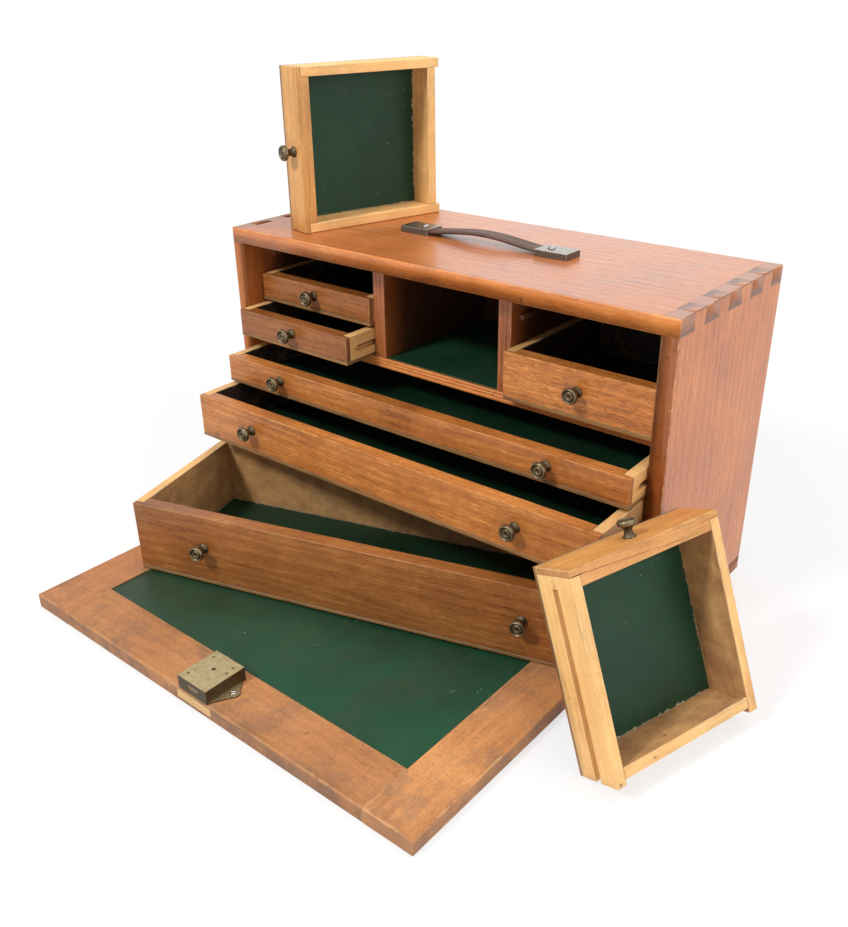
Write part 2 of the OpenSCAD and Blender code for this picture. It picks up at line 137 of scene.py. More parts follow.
def vectors(operation, *values):
    """One vector sum: the operation on up to two vectors."""
    return add("VectorMath", dict(enumerate(values)), operation=operation).outputs[0]


def split(vector):
    """The three values of a vector."""
    return add("SeparateXYZ", {0: vector}).outputs


def stretched(place, x, y, z):
    """A place with its three values multiplied, which stretches what is drawn by it."""
    return vectors("MULTIPLY", place, (x, y, z))


def between(value, low, high, start=0.0, end=1.0):
    """A soft step: start below low, end above high, smooth between them."""
    return add("MapRange", {"Value": value, "From Min": low, "From Max": high, "To Min": start,
                            "To Max": end}, interpolation_type="SMOOTHSTEP").outputs[0]


def mixed(factor, first, second, blend="MIX"):
    """Two colours mixed by a factor."""
    return add("Mix", {0: factor, 6: first, 7: second}, data_type="RGBA",
               blend_type=blend).outputs[2]


def coated(colour, *coats):
    """A colour with coats laid over it; each coat is a mask, its strength and its colour."""
    for mask, strength, tone in coats:
        colour = mixed(times(mask, strength), colour, tone)
    return colour


def shaded(colour, level):
    """A colour multiplied by a level of grey."""
    grey = add("CombineColor", {0: level, 1: level, 2: level}).outputs[0]
    return mixed(1.0, colour, grey, "MULTIPLY")


def noise(vector, scale, detail=2.0, roughness=0.5, distortion=0.0):
    """Cloudy noise from 0 to 1; 1 / scale is the size of one cloud in metres."""
    return add("TexNoise", {"Vector": vector, "Scale": scale, "Detail": detail,
                            "Roughness": roughness, "Distortion": distortion}).outputs[0]


def attribute(name, output="Vector"):
    """A value that the mesh stores at each of its points."""
    return add("Attribute", attribute_name=name).outputs[output]


def effect(name, places, values, results):
    """An empty node group, which is then being drawn. Its inputs are places and values, its
    outputs are values."""
    tree = bpy.data.node_groups.new(name, "ShaderNodeTree")
    for way, kind, labels in (("INPUT", "Vector", places), ("INPUT", "Float", values),
                              ("OUTPUT", "Float", results)):
        for label in labels.split():
            tree.interface.new_socket(name=label, in_out=way, socket_type="NodeSocket" + kind)
    drawing["tree"] = tree
    return tree, tree.nodes.new("NodeGroupInput").outputs, tree.nodes.new("NodeGroupOutput").inputs


def use(group, sockets):
    """One copy of a node group in a finish, and its outputs."""
    return add("Group", sockets, node_tree=group).outputs


def begun(owner):
    """Clears a material's or world's graph, which is then being drawn."""
    owner.use_nodes = True
    owner.node_tree.nodes.clear()
    drawing["tree"] = owner.node_tree


def finish_named(name):
    """A new material with an empty graph but for its output; returns both."""
    material = bpy.data.materials.new(name)
    begun(material)
    return material, add("OutputMaterial")


def surfaced(out, height, relief, strength, sockets):
    """Ends a finish: one shader with these sockets, its bumps so many metres high."""
    bump = add("Bump", {"Strength": strength, "Distance": relief, "Height": height})
    shader = add("BsdfPrincipled", dict(sockets, Normal=bump.outputs[0]))
    link(shader.outputs[0], out.inputs["Surface"])


def seen_directly():
    """1 for rays from the camera, mirrors and glass, 0 for the light that bounces about."""
    rays = add("LightPath").outputs
    seen = maths("MAXIMUM", rays["Is Camera Ray"], rays["Is Glossy Ray"])
    return maths("MAXIMUM", seen, rays["Is Transmission Ray"])

# %% [markdown]
# ## Floor and light
#
# The floor is a plain white sheet, lit softly from above. The camera sees it lifted towards
# white, and the object still drops a faint shadow on it.

# %% Floor
def sheet_mesh(name, half, height):
    """A flat square at a height: corners (+-half, +-half, height)."""
    mesh = bpy.data.meshes.new(name)
    mesh.from_pydata([(-half, -half, height), (half, -half, height), (half, half, height),
                      (-half, half, height)], [], [(0, 1, 2, 3)])
    return mesh


floor = bpy.data.objects.new("floor", sheet_mesh("floor", 14, -0.0004))
bpy.context.scene.collection.objects.link(floor)
white, out = finish_named("floor_white")
seen = seen_directly()
matt = add("BsdfPrincipled", {"Base Color": (0.9, 0.9, 0.9, 1), "Roughness": 0.7,
                              "Specular IOR Level": 0.2})
glow = add("Emission", {"Color": (1, 1, 1, 1), "Strength": 1.0})
distance = add("VectorMath", {0: add("TexCoord").outputs["Object"]},
               operation="LENGTH").outputs["Value"]
half_seen = times(seen, between(distance, 0.28, 0.8, 0.70, 1.0))
lifted = add("MixShader", {0: half_seen, 1: matt.outputs[0], 2: glow.outputs[0]})
link(lifted.outputs[0], out.inputs["Surface"])
floor.data.materials.append(white)

# %% Light
world = bpy.data.worlds.new("studio")
begun(world)
seen = seen_directly()
soft = add("Background", {"Color": (1.0, 1.0, 1.0, 1), "Strength": 0.40})
plain = add("Background", {"Color": (1, 1, 1, 1), "Strength": 1.0})
both = add("MixShader", {0: seen, 1: soft.outputs[0], 2: plain.outputs[0]})
link(both.outputs[0], add("OutputWorld").inputs["Surface"])
bpy.context.scene.world = world
bpy.context.scene.view_settings.view_transform = "Standard"


def softbox(name, place, target, size, watts):
    """A square area lamp at a place, turned to a target and hidden from the camera."""
    lamp = bpy.data.lights.new(name, "AREA")
    lamp.size, lamp.energy = size, watts
    lamp_object = bpy.data.objects.new(name, lamp)
    away = np.array(place, float) - np.array(target, float)
    away /= np.linalg.norm(away)
    side = np.cross([0, 0, 1], away)
    side /= np.linalg.norm(side)
    m = np.eye(4)
    m[:3, 0], m[:3, 1], m[:3, 2], m[:3, 3] = side, np.cross(away, side), away, place
    lamp_object.matrix_world = Matrix(m.tolist())
    lamp_object.visible_camera = False
    bpy.context.scene.collection.objects.link(lamp_object)


softbox("lamp_front", (-0.45, -2.0, 2.0), (0.0, -0.1, 0.1), 0.35, 42)
softbox("lamp_above", (0.35, 0.1, 1.9), (0.0, -0.1, 0.1), 1.7, 17)
softbox("lamp_right", (1.9, -0.1, 0.9), (0.1, -0.1, 0.1), 1.5, 13)
softbox("lamp_sheen", (-1.0, 2.0, 0.95), (0.12, 0.0, 0.28), 1.1, 3)
print("floor, world and four soft lamps")

# %% [markdown]
# ## Wear that follows each board
#
# Hands and bench tops rub the arrises of old boards pale, and dirt settles beside them. Each
# board stores its own place and half size, so a finish can tell how far a point is from the
# nearest arris: of the three distances to its faces, the middle one.

# %% Arris wear as a node group
arris_wear, given, result = effect("arris_wear", "Place Reach", "Width", "Wear Grime End Upper")
x, y, z = split(vectors("SUBTRACT", given["Reach"], vectors("ABSOLUTE", given["Place"])))
least = maths("MINIMUM", maths("MINIMUM", x, y), z)
most = maths("MAXIMUM", maths("MAXIMUM", x, y), z)
middle = minus(minus(plus(plus(x, y), z), least), most)
ragged = noise(given["Place"], 75, 4, 0.65)
patches = noise(given["Place"], 21, 3, 0.6)
worn_width = times(given["Width"], between(ragged, 0.35, 0.75, 0.15, 2.2))
rubbed = between(maths("DIVIDE", middle, worn_width), 0.2, 1.0, 1.0, 0.0)
link(times(rubbed, between(patches, 0.38, 0.6, 0.25, 1.0)), result["Wear"])
soiled = between(maths("DIVIDE", middle, times(given["Width"], 7.0)), 0.0, 1.0, 1.0, 0.0)
link(times(soiled, between(patches, 0.42, 0.68)), result["Grime"])
link(between(x, 0.0002, 0.0006, 1.0, 0.0), result["End"])
below_top = split(vectors("SUBTRACT", given["Reach"], given["Place"]))[2]
link(between(below_top, 0.0002, 0.0005, 1.0, 0.0), result["Upper"])
print("arris wear:", len(arris_wear.nodes), "nodes")

# %% [markdown]
# ## Oak
#
# Oak shows five things: growth rings that run out in long arches, fine streaks along the
# grain, a short mottle between them, open pores as dark dashes, and on boards cut through the
# heart, dark ray flecks. All are noise that is stretched along the board's own length.

# %% Wood figure as a node group
wood_figure, given, result = effect("wood_figure", "Place", "Seed",
                                    "Bands Streaks Pores Rays Blotch Grain")
shifted = vectors("ADD", given["Place"], add("CombineXYZ", {
    i: times(given["Seed"], share) for i, share in enumerate((0.37, 0.21, 0.13))}).outputs[0])
sway = noise(stretched(shifted, 0.10, 1.0, 1.0), 24, 2, 0.45)
rings = plus(times(sway, 26.0), times(split(shifted)[1], 620.0))
link(scaled(maths("SINE", rings), 0.5, 0.5), result["Bands"])
link(noise(stretched(shifted, 0.035, 1.0, 1.0), 760, 4, 0.6), result["Streaks"])
link(noise(stretched(shifted, 0.30, 1.0, 1.0), 620, 3, 0.7), result["Grain"])
dashes = noise(stretched(shifted, 0.085, 1.0, 1.0), 1150, 1, 0.5)
link(between(dashes, 0.58, 0.70), result["Pores"])
flecks = noise(stretched(shifted, 0.22, 1.0, 1.0), 430, 3, 0.55, 1.6)
link(between(flecks, 0.50, 0.60), result["Rays"])
link(noise(shifted, 16, 4, 0.6), result["Blotch"])
print("wood figure:", len(wood_figure.nodes), "nodes")

# %% Scratches and specks as a node group
marks, given, result = effect("marks", "Place", "Seed", "Scratches Specks Nicks")
shifted = vectors("ADD", given["Place"], add("CombineXYZ", {
    0: times(given["Seed"], 0.29), 1: given["Seed"], 2: 0.0}).outputs[0])
thin = between(absolute(minus(noise(shifted, 34, 2, 0.4, 0.6), 0.5)), 0.0, 0.006, 1.0, 0.0)
link(times(thin, between(noise(shifted, 45, 1), 0.58, 0.66)), result["Scratches"])
cells = add("TexVoronoi", {"Vector": shifted, "Scale": 130.0}).outputs
few = maths("GREATER_THAN", add("SeparateColor", {0: cells["Color"]}).outputs[0], 0.80)
link(times(between(cells["Distance"], 0.035, 0.075, 1.0, 0.0), few), result["Specks"])
link(between(noise(shifted, 85, 2, 0.5, 0.4), 0.735, 0.79), result["Nicks"])
print("marks:", len(marks.nodes), "nodes")

# %% What each kind of board adds
# In metres: half the room inside the case along x and z, the middle of its height, and a
# place within its back board; then how far in from the case's ends the joints' lines are drawn
room_x, room_z, room_middle, room_back, joint_in = 0.2150, 0.1270, 0.1405, 0.0846, 0.0138


def remembered(wear_width):
    """What a board's mesh stores (place, reach, look), and the three effects that follow."""
    place, reach, look = (attribute(name) for name in ("place", "reach", "look"))
    own = {"Place": place, "Seed": attribute("seed", "Fac")}
    edge = use(arris_wear, {"Place": place, "Reach": reach, "Width": wear_width})
    return place, reach, split(look), use(wood_figure, own), edge, use(marks, own)


def on_case(colour, place, reach, third, edge, end_tint):
    """A case board's front edge has a tint of its own. The top also shows, beside each end,
    the sides' end grain and a thin dark line at the joint. Returns the strength of the end
    tint as well, which is less on the top."""
    front = between(plus(place[1], reach[1]), 0.0004, 0.0010, 1.0, 0.0)
    tint = mixed(third, (0.36, 0.28, 0.22, 1), (1.60, 1.75, 1.80, 1))
    colour = mixed(front, colour, mixed(1.0, colour, tint, "MULTIPLY"))
    is_top = maths("GREATER_THAN", third, 0.95)
    from_end = minus(reach[0], absolute(place[0]))
    joint = times(is_top, between(from_end, joint_in - 0.0004, joint_in + 0.0003, 1.0, 0.0))
    joint = times(joint, minus(1.0, maths("MAXIMUM", front, edge["End"])))
    line = between(absolute(minus(from_end, joint_in)), 0.0001, 0.0005, 0.55, 0.0)
    line = times(times(is_top, line), minus(1.0, front))
    colour = coated(colour, (joint, 0.72, end_tint), (line, 1.0, (0.10, 0.045, 0.022, 1)))
    return colour, scaled(is_top, -0.42, 0.62)


def painted_shade_inside_case():
    """1 on the faces inside the case, from a little behind its front edge, where the case boards
    are painted near black as painted shade.
    """
    x, y, z = split(add("TexCoord").outputs["Object"])
    beside = between(absolute(x), room_x + 0.0001, room_x + 0.0003, 1.0, 0.0)
    above = between(absolute(minus(z, room_middle)), room_z + 0.0001, room_z + 0.0003, 1.0, 0.0)
    behind = between(y, room_back - 0.0001, room_back + 0.0001, 1.0, 0.0)
    return times(times(beside, above), times(between(y, -0.078, -0.030), behind))


def on_wall(colour, clouds, place, reach, dirt_and_shade, inward):
    """A drawer wall is darkened on its inward side, by brown grime at low amounts and by
    near-black painted shade at high ones, and its groove is darker than its face.
    """
    inside = between(minus(reach[2], times(place[2], inward)), 0.0002, 0.0006, 1.0, 0.0)
    amount = plus(between(clouds, 0.35, 0.68, -0.12, 0.28), dirt_and_shade, clamp=True)
    # From brown grime at low values to near black at high ones; the near black is painted shade.
    tone = mixed(between(dirt_and_shade, 0.55, 0.9), (0.33, 0.153, 0.068, 1), (0.030, 0.017, 0.013, 1))
    groove = times(between(absolute(place[1]), 0.0027, 0.0029, 1.0, 0.0),
                   between(minus(reach[2], absolute(place[2])), 0.0004, 0.0012))
    return coated(colour, (inside, amount, tone), (groove, 0.8, (0.27, 0.125, 0.05, 1)))


def on_frame(colour, place, below):
    """A panel member is soiled below its upper face, and patchy and gritty all over."""
    soiled = between(noise(place, 30, 5, 0.7), 0.40, 0.62, 0.25, 0.85)
    patches = between(noise(place, 24, 7, 0.78), 0.47, 0.66)
    grit = between(noise(place, 520, 3, 0.75), 0.50, 0.72)
    return coated(colour, (between(below, 0.0010, 0.0035), soiled, (0.20, 0.095, 0.045, 1)),
                  (patches, 0.70, (0.25, 0.130, 0.070, 1)), (grit, 0.45, (0.13, 0.06, 0.028, 1)))


# %% Varnished and bare wood
def wood(name, dark, mid, pale, worn, roughness, coat, end_tint, wear_width, contrast, kind):
    """Wood from three tones, mixed by its figure and darkened by pores, with worn arrises. The
    board's own shade, and unless it is a wall its share of red, tint the whole. The third value
    of a case board tells how light its front edge is, and 1 stands for the top; a front's is
    its share of ray flecks. A wall's second value is how dark its inside is made, brown grime
    when low and near-black painted shade when high, and its third its inward side. On a case
    board the faces inside the case are painted near black, as painted shade."""
    material, out = finish_named(name)
    place, reach, (shade, second, third), figure, edge, scar = remembered(wear_width)
    at, half = split(place), split(reach)
    tone = scaled(figure["Streaks"], 1.25 * contrast, 0.5 - 1.075 * contrast)
    tone = scaled(figure["Grain"], 0.9 * contrast, tone)
    tone = scaled(figure["Bands"], 0.20 * contrast, tone)
    tone = scaled(figure["Blotch"], 0.9, minus(tone, 0.47))
    colour = mixed(between(tone, 0.12, 0.55), dark, mid)
    colour = mixed(between(tone, 0.5, 0.95), colour, pale)
    colour = coated(colour, (figure["Pores"], 0.42 * contrast, dark))
    end_amount, wear_amount = 0.5, 0.4
    if kind == "case":
        colour, end_amount = on_case(colour, at, half, third, edge, end_tint)
        wear_amount = 0.5
    elif kind == "wall":
        colour = on_wall(colour, noise(place, 38, 6, 0.72), at, half, second, third)
    elif kind == "front":
        colour = coated(colour, (times(figure["Rays"], third), 0.52, dark))
    elif kind == "frame":
        colour = on_frame(colour, place, minus(half[2], at[2]))
    colour = coated(colour, (edge["End"], end_amount, end_tint),
                    (edge["Grime"], 0.25, (0.06, 0.026, 0.012, 1)),
                    (edge["Wear"], wear_amount, worn), (scar["Scratches"], 0.22, worn),
                    (scar["Nicks"], 0.6, (0.07, 0.03, 0.015, 1)))
    if kind != "wall":
        red = mixed(second, (1, 1, 1, 1), (1.0, 0.84, 0.84, 1))
        colour = mixed(1.0, colour, red, "MULTIPLY")
    colour = shaded(colour, shade)
    if kind == "case":
        # Painted shade: the faces inside the case are painted near black.
        colour = coated(colour, (painted_shade_inside_case(), 0.90, (0.022, 0.010, 0.008, 1)))
    rough = scaled(edge["End"], 0.03, scaled(figure["Blotch"], 0.26, roughness - 0.13))
    rough = scaled(figure["Pores"], 0.12, rough, clamp=True)
    height = minus(times(figure["Streaks"], 0.5), times(figure["Pores"], 0.6))
    height = minus(height, times(scar["Nicks"], 0.8))
    surfaced(out, height, 0.0004, 0.3, {
        "Base Color": colour, "Roughness": rough, "Coat Weight": coat, "Coat Roughness": 0.2,
        "Specular IOR Level": 0.4})
    return material


# The four tones, roughness and coat, the end grain's tint, then the width of the wear in
# metres, the contrast of the figure and the kind of board
case_oak = wood("case_oak", (0.25, 0.062, 0.012, 1), (0.48, 0.143, 0.030, 1),
                (0.64, 0.24, 0.062, 1), (0.86, 0.46, 0.18, 1), 0.40, 0.40,
                (0.30, 0.125, 0.062, 1), 0.0010, 0.66, "case")
front_oak = wood("front_oak", (0.19, 0.056, 0.010, 1), (0.42, 0.142, 0.027, 1),
                 (0.64, 0.265, 0.064, 1), (0.66, 0.32, 0.09, 1), 0.44, 0.22,
                 (0.33, 0.15, 0.06, 1), 0.0012, 0.80, "front")
# A paler copy of the front oak for the two drawers that stand out of the case; on the upright
# drawer it is partly painted light, for the stronger light on its faces.
pale_and_lit_oak = wood("pale_and_lit_oak", (0.42, 0.175, 0.045, 1), (0.66, 0.315, 0.085, 1),
                 (0.82, 0.45, 0.15, 1), (0.86, 0.52, 0.20, 1), 0.46, 0.18,
                 (0.50, 0.28, 0.12, 1), 0.0012, 0.70, "front")
frame_oak = wood("frame_oak", (0.27, 0.105, 0.035, 1), (0.47, 0.205, 0.070, 1),
                 (0.62, 0.32, 0.13, 1), (0.66, 0.38, 0.17, 1), 0.58, 0.05,
                 (0.30, 0.14, 0.06, 1), 0.0014, 0.40, "frame")
pale_wood = wood("pale_wood", (0.58, 0.29, 0.10, 1), (0.86, 0.50, 0.185, 1),
                 (0.95, 0.66, 0.31, 1), (0.95, 0.70, 0.38, 1), 0.55, 0.06,
                 (0.50, 0.28, 0.11, 1), 0.0010, 0.45, "wall")
print("five woods")

# %% [markdown]
# ## Green linings
#
# The drawer bottoms are thin pale boards whose upper face is covered in dark green cloth,
# rubbed to a slight gloss, with dust in its corners, white specks and thin scratches.

# %% Green cloth on a pale board
def lined(name, rim_x, rim_y, tear, dull_left=0.0):
    """Green on the upper face, bare wood on the edges and below. rim_x and rim_y are the
    widths that the walls around it cover; within tear of them, most of all at the back, the
    cloth has come away and shows pale. Towards its left the cloth is greyer by dull_left. The
    board's shade darkens the cloth; for the drawers still in the case that darkening is
    painted shade."""
    material, out = finish_named(name)
    place, reach, look, figure, edge, scar = remembered(0.002)
    at = split(place)
    far = split(vectors("SUBTRACT", reach, vectors("ABSOLUTE", place)))
    border = maths("MINIMUM", minus(far[0], rim_x), minus(far[1], rim_y))
    cloud = between(noise(place, 8, 4, 0.62), 0.3, 0.7)
    grey = plus(between(noise(place, 13, 5, 0.7), 0.46, 0.72, 0.0, 0.45),
                between(at[0], -0.15, 0.08, dull_left, 0.0))
    thread = noise(stretched(place, 1.0, 0.25, 1.0), 1500, 2, 0.6)
    dust = between(plus(border, times(noise(place, 160, 4, 0.7), 0.012)), 0.0045, 0.0085, 1.0, 0.0)
    cloth = mixed(cloud, (0.0070, 0.030, 0.0125, 1), (0.0085, 0.064, 0.029, 1))
    cloth = coated(cloth, (grey, 1.0, (0.036, 0.044, 0.024, 1)),
                   (thread, 0.25, (0.020, 0.080, 0.042, 1)), (dust, 0.22, (0.15, 0.15, 0.09, 1)))
    if tear:
        strength = scaled(between(at[1], 0.02, 0.05), 0.9, 1.0)
        torn = times(between(noise(place, 210, 5, 0.75), 0.46, 0.72, 0.0, tear), strength)
        torn = between(minus(torn, border), 0.0, 0.0002)
        cloth = coated(cloth, (torn, 0.75, (0.60, 0.50, 0.32, 1)))
    cloth = coated(cloth, (scar["Scratches"], 0.22, (0.20, 0.25, 0.19, 1)),
                   (scar["Specks"], 0.75, (0.55, 0.56, 0.48, 1)))
    # The board's shade darkens the cloth: painted shade for the drawers still in the case.
    cloth = shaded(cloth, look[0])
    bare = mixed(figure["Streaks"], (0.20, 0.080, 0.022, 1), (0.44, 0.22, 0.075, 1))
    bare = coated(bare, (edge["Grime"], 0.6, (0.08, 0.035, 0.014, 1)))
    height = scaled(thread, 0.5, times(cloud, 0.8))
    surfaced(out, height, 0.0003, 0.3, {"Base Color": mixed(edge["Upper"], bare, cloth),
                                        "Roughness": scaled(cloud, 0.14, 0.40),
                                        "Specular IOR Level": 0.26})
    return material


green_board = lined("green_board", 0.0084, 0.0125, 0.0013)
green_panel = lined("green_panel", 0.0060, 0.0060, 0.0, 0.40)
green_floor = lined("green_floor", 0.0, 0.0, 0.0)
print("three green linings")

# %% [markdown]
# ## Metals and leather
#
# Old bronze is dark in its hollows and rubbed bright on its rims. The mesh stores how much
# each point is rubbed, and on the lock and the handle plates also painted light on the faces
# that look up; noise breaks that up. The strap is dark leather with fine pebbling.

# %% Rubbed metal and leather
def rubbed_metal(name, dull, bright, spot, roughness, spotting, unevenness):
    """Metal between a dull and a bright tone by how much it is rubbed, and on faces that look up
    also by painted light, with stains over it.
    """
    material, out = finish_named(name)
    where = add("TexCoord").outputs["Object"]
    cloud, grain = noise(where, 260, 4, 0.65), noise(where, 1500, 2, 0.6)
    amount = maths("MULTIPLY", between(cloud, 0.3, 0.7, 1.15 - unevenness, 1.15),
                   attribute("rub", "Fac"), clamp=True)
    stain = times(between(noise(where, 480, 3, 0.6), 0.55, 0.7), spotting)
    surfaced(out, scaled(grain, 0.4, cloud), 0.0002, 0.3, {
        "Base Color": mixed(stain, mixed(amount, dull, bright), spot),
        "Metallic": scaled(stain, -0.55, 0.92),
        "Roughness": scaled(amount, -0.12, scaled(cloud, 0.25, roughness - 0.1))})
    return material


# Dull, bright and spot tones, then roughness, spotting and unevenness
bronze = rubbed_metal("aged_bronze", (0.075, 0.054, 0.030, 1), (0.24, 0.185, 0.105, 1),
                      (0.04, 0.034, 0.022, 1), 0.45, 0.5, 0.7)
lock_brass = rubbed_metal("lock_brass", (0.070, 0.050, 0.028, 1), (0.56, 0.44, 0.24, 1),
                          (0.16, 0.12, 0.06, 1), 0.46, 0.35, 0.35)
steel = rubbed_metal("worn_steel", (0.13, 0.118, 0.10, 1), (0.60, 0.57, 0.51, 1),
                     (0.06, 0.05, 0.04, 1), 0.34, 0.6, 0.7)

leather, out = finish_named("brown_leather")
where = add("TexCoord").outputs["Object"]
pebble = add("TexVoronoi", {"Vector": where, "Scale": 900.0}).outputs["Distance"]
crease = noise(stretched(where, 1.0, 0.15, 1.0), 260, 3, 0.6)
tint = mixed(between(noise(where, 60, 4, 0.6), 0.3, 0.7), (0.045, 0.022, 0.014, 1),
             (0.095, 0.046, 0.030, 1))
tint = coated(tint, (attribute("rub", "Fac"), between(crease, 0.35, 0.65, 0.1, 0.6),
                     (0.17, 0.092, 0.062, 1)))
surfaced(out, scaled(crease, 0.8, pebble), 0.0003, 0.4,
         {"Base Color": tint, "Roughness": scaled(crease, 0.3, 0.42)})
print("three metals and leather")

# %% [markdown]
# ## Boards as carried outlines
#
# A planed board is an outline carried along a straight line, with its arrises eased by sand
# paper. The outline's corners are rounded first; then the first and last rings are drawn in
# a little, which eases the ends as well.

# %% Outlines and rings
def eased_outline(corners, radius, steps=3):
    """Each corner P becomes a parabola between the points A and B at the tangent length:
    (1-s)^2 A + 2s(1-s) P + s^2 B for s from 0 to 1."""
    p = np.asarray(corners, float)
    r = np.broadcast_to(np.asarray(radius, float), len(p))[:, None]
    a, b = np.roll(p, 1, 0) - p, np.roll(p, -1, 0) - p
    la, lb = (np.linalg.norm(d, axis=1, keepdims=True) for d in (a, b))
    a, b = a / la, b / lb
    cosine = np.clip((a * b).sum(1, keepdims=True), -0.999, 0.999)
    t = np.minimum(r * np.sqrt((1 + cosine) / (1 - cosine)), 0.49 * np.minimum(la, lb))
    s = np.linspace(0, 1, steps + 1)[None, :, None]
    q, a, b, t = p[:, None], a[:, None], b[:, None], t[:, None]
    return ((1 - s) ** 2 * (q + a * t) + 2 * s * (1 - s) * q + s ** 2 * (q + b * t)).reshape(-1, 2)


def grid_faces(rows, columns):
    """Four-cornered faces between neighbouring rings of a grid."""
    i, j = np.meshgrid(np.arange(rows - 1), np.arange(columns), indexing="ij")
    k = (j + 1) % columns
    return np.stack([i * columns + j, i * columns + k, (i + 1) * columns + k,
                     (i + 1) * columns + j], -1).reshape(-1, 4)


def drawn_in(outline, inset):
    """One outline moved inwards along its normals by each of several insets."""
    tangent = np.roll(outline, -1, 0) - np.roll(outline, 1, 0)
    outward = np.stack([tangent[:, 1], -tangent[:, 0]], 1)
    outward /= np.linalg.norm(outward, axis=1, keepdims=True) + 1e-12
    return outline[None] - outward[None] * inset[:, None, None]


def carried(outlines, stations, ease):
    """Rings through several outlines at their stations along a line, closed at both ends. Over
    the first and last stretch of length ease, a ring at angle a is drawn in by
    ease (1 - sin a) at the distance ease (1 - cos a) from the end."""
    angle = np.linspace(0, np.pi / 2, 3)
    inset, depth = ease * (1 - np.sin(angle)), ease * (1 - np.cos(angle))
    middle = np.array(outlines[1:-1]).reshape(-1, *outlines[0].shape)
    flat = np.concatenate([drawn_in(outlines[0], inset), middle,
                           drawn_in(outlines[-1], inset)[::-1]])
    along = np.concatenate([stations[0] + depth, stations[1:-1], (stations[-1] - depth)[::-1]])
    along = np.broadcast_to(along[:, None, None], flat.shape[:2] + (1,))
    points = np.concatenate([flat, along], 2).reshape(-1, 3)
    n, total = len(outlines[0]), len(points)
    ends = [list(range(n))[::-1], list(range(total - n, total))]
    return points, grid_faces(len(flat), n).tolist() + ends


def straight(outline, start, end, ease):
    """One outline carried from start to end."""
    return carried([outline, outline], [start, end], ease)


def filled(outline, first, count):
    """The outline with its groove filled: the groove's points, counted from the first, are
    spread evenly along the face that it is cut in."""
    flat = outline.copy()
    share = np.linspace(0, 1, count)[:, None]
    flat[first:first + count] = outline[first] * (1 - share) + outline[first + count - 1] * share
    return flat


def rectangle(u0, v0, u1, v1):
    """The four corners of a rectangle, anticlockwise."""
    return np.array([(u0, v0), (u1, v0), (u1, v1), (u0, v1)], float)


print("eased square:", len(eased_outline(rectangle(0, 0, 1, 1), 0.1)), "points")

# %% Boards with a memory of their own grain
def placed(points, place):
    """Points in millimetres, turned and moved by a 4 x 4 matrix, in metres."""
    return (points @ place[:3, :3].T + place[:3, 3]) * 0.001


def remembering(points, faces, local, order, unit, look, seed):
    """A part whose points know their place in the board and half its size, in that order of
    directions. local are the same points in the board's own directions and unit."""
    low, high = local.min(0), local.max(0)
    return {"points": points, "faces": faces,
            "place": (local - (low + high) / 2)[:, order] * unit,
            "reach": np.tile(((high - low) / 2)[order] * unit, (len(local), 1)),
            "look": np.tile(look, (len(local), 1)), "seed": np.full(len(local), float(seed))}


def board(shape, axes, grain, turn, seed, shade=1.0, red=0.0, figure=0.0):
    """One board in millimetres, set in place by a 4 x 4 matrix. axes says which of x, y and z
    the outline's two directions and its path are. grain lists the directions along the grain,
    across it and through the thickness; place and reach are measured in that order."""
    points, faces = shape
    local = np.empty_like(points)
    local[:, list(axes)] = points
    return remembering(placed(local, turn), faces, local, list(grain), 0.001,
                       (shade, red, figure), seed)


kinds = {"place": "FLOAT_VECTOR", "reach": "FLOAT_VECTOR", "look": "FLOAT_VECTOR",
         "seed": "FLOAT", "rub": "FLOAT"}


def piece(name, parts, material, body, nodes, weighted=True):
    """Joins parts into one mesh with its attributes and its material, and hangs it in the frame."""
    offsets = np.cumsum([0] + [len(p["points"]) for p in parts])
    mesh = bpy.data.meshes.new(name)
    faces = [[i + int(o) for i in f] for p, o in zip(parts, offsets) for f in p["faces"]]
    mesh.from_pydata(np.concatenate([p["points"] for p in parts]).tolist(), [], faces)
    for key in (k for k in kinds if k in parts[0]):
        data = np.concatenate([p[key] for p in parts]).astype(np.float32)
        mesh.attributes.new(key, kinds[key], "POINT").data.foreach_set(
            "value" if kinds[key] == "FLOAT" else "vector", data.ravel())
    mesh.polygons.foreach_set("use_smooth", np.ones(len(mesh.polygons), bool))
    mesh.materials.append(material)
    mesh.validate()
    made = bpy.data.objects.new(name, mesh)
    bpy.context.scene.collection.objects.link(made)
    if weighted:
        made.modifiers.new("flat faces stay flat", "WEIGHTED_NORMAL").weight = 60
    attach(made, body)
    if nodes:
        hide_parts(*nodes)
        low, high = (np.array(c) for c in zip(*[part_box(n) for n in nodes]))
        points = np.concatenate([p["points"] for p in parts])
        off = np.abs([points.min(0) - low.min(0), points.max(0) - high.max(0)]).max()
        print("%-28s %5d faces, %.2f mm off its node" % (name, len(faces), off * 1000))


def turned(axis, degrees):
    """A 4 x 4 turn about one axis."""
    return np.array(Matrix.Rotation(np.radians(degrees), 4, axis))


def moved(x, y, z):
    """A 4 x 4 shift in millimetres."""
    m = np.eye(4)
    m[:3, 3] = x, y, z
    return m


# %% [markdown]
# ## The case
#
# Four oak boards, dovetailed at the corners: the sides' tails run up through the top board,
# so the top shows their end grain, and the side shows the top board's end grain between
# them. A carried outline can't make these interlocking ends, so each board is a copy of its
# solid, and only its outer arrises are rounded. The rounding stops dead at each joint, and
# the neighbouring board takes it up, as on a case that was sanded after it was glued.

